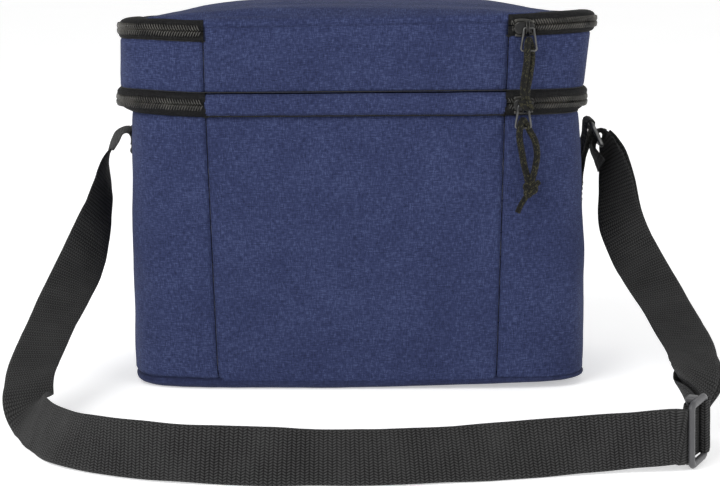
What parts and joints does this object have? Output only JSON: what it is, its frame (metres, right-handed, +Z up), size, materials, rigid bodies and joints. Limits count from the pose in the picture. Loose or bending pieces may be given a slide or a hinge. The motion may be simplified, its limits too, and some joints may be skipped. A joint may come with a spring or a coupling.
{
  "type": "insulated cooler bag",
  "caption": "Soft two-compartment insulated cooler bag with coil zips, fabric-hinged compartment and lid, and an adjustable webbing shoulder strap.",
  "frame": {"origin": "centre of the underside, on the floor plane", "axes": "+X to the right and +Y away from the hinge face seen from the front, +Z up"},
  "size_m": [0.4414, 0.4098, 0.2551],
  "materials": {
    "navy_fabric": "melange woven polyester, matte",
    "zip_tape": "woven tape, matte",
    "zip_coil": "nylon coil, satin",
    "foam": "closed-cell foam",
    "foil_liner": "metallised film",
    "base_board": "moulded board",
    "webbing": "woven polypropylene webbing",
    "dark_metal": "black coated",
    "cord": "braided cord",
    "black_plastic": "moulded acetal, satin"
  },
  "bodies": {
    "lower_body": {"base_panel": "navy_fabric", "base_board": "base_board", "lower_wrap_panel": "navy_fabric", "lower_center_panel": "navy_fabric", "lower_wrap_foam": "foam", "lower_center_foam": "foam", "base_foam": "foam", "lower_liner": "foil_liner", "lower_rim_binding": "zip_tape", "lower_zip_lower_tape": "zip_tape", "lower_zip_lower_coil": "zip_coil", "hinge_band": "navy_fabric", "strap_tab_left": "webbing", "strap_tab_right": "webbing", "strap_ring_left": "dark_metal", "strap_ring_right": "dark_metal", "strap_end_loop_left": "webbing", "strap_end_loop_right": "webbing"},
    "upper_compartment": {"lower_zip_upper_coil": "zip_coil", "lower_zip_upper_tape": "zip_tape", "upper_wrap_panel": "navy_fabric", "upper_center_panel": "navy_fabric", "divider_cover": "navy_fabric", "divider_foam": "foam", "upper_wrap_foam": "foam", "upper_center_foam": "foam", "upper_liner": "foil_liner", "upper_rim_binding": "zip_tape", "upper_zip_lower_tape": "zip_tape", "upper_zip_lower_coil": "zip_coil"},
    "lid": {"upper_zip_upper_coil": "zip_coil", "upper_zip_upper_tape": "zip_tape", "lid_cover": "navy_fabric", "lid_foam": "foam", "lid_liner": "foil_liner"},
    "upper_slider": {"upper_slider": "dark_metal"},
    "lower_slider": {"lower_slider": "dark_metal"},
    "upper_pull": {"upper_pull_wire": "dark_metal"},
    "lower_pull": {"lower_pull_wire": "dark_metal"},
    "upper_cord": {"upper_pull_cord": "cord"},
    "lower_cord": {"lower_pull_cord": "cord"},
    "strap": {"strap_webbing": "webbing", "strap_return_webbing": "webbing"},
    "adjuster": {"strap_adjuster": "black_plastic", "strap_return_loop": "webbing"}
  },
  "joints": [
    {"name": "upper_compartment_hinge", "type": "hinge", "parent": "lower_body", "child": "upper_compartment", "pos_m": [0, -0.0882, 0.1969], "axis": [1, 0, 0], "range_deg": [0, 100]},
    {"name": "lid_hinge", "type": "hinge", "parent": "upper_compartment", "child": "lid", "pos_m": [0, -0.088, 0.2459], "axis": [1, 0, 0], "range_deg": [0, 115]},
    {"name": "upper_slider_slide", "type": "slide", "parent": "upper_compartment", "child": "upper_slider", "axis": [1, 0, 0], "range_m": [0, 0.019]},
    {"name": "lower_slider_slide", "type": "slide", "parent": "lower_body", "child": "lower_slider", "axis": [1, 0, 0], "range_m": [0, 0.006]},
    {"name": "upper_pull_swing", "type": "hinge", "parent": "upper_slider", "child": "upper_pull", "pos_m": [0.1065, -0.0916, 0.24], "axis": [-1, 0, 0], "range_deg": [0, 120]},
    {"name": "lower_pull_swing", "type": "hinge", "parent": "lower_slider", "child": "lower_pull", "pos_m": [0.1065, -0.0916, 0.19], "axis": [-1, 0, 0], "range_deg": [0, 40]},
    {"name": "upper_cord_swing", "type": "hinge", "parent": "upper_pull", "child": "upper_cord", "pos_m": [0.1065, -0.09286, 0.22556], "axis": [-1, 0, 0], "range_deg": [0, 30]},
    {"name": "lower_cord_swing", "type": "hinge", "parent": "lower_pull", "child": "lower_cord", "pos_m": [0.1065, -0.09286, 0.17555], "axis": [-1, 0, 0], "range_deg": [0, 20]},
    {"name": "strap_swing", "type": "hinge", "parent": "lower_body", "child": "strap", "pos_m": [0, 0, 0.155], "axis": [-1, 0, 0], "range_deg": [0, 120]},
    {"name": "adjuster_slide", "type": "slide", "parent": "strap", "child": "adjuster", "axis": [0.4699, 0.8827, 0], "range_m": [0, 0.01]}
  ],
  "couplings": [
    {"joint": "upper_pull_swing", "follows": "upper_compartment_hinge", "ratio": 1}
  ]
}
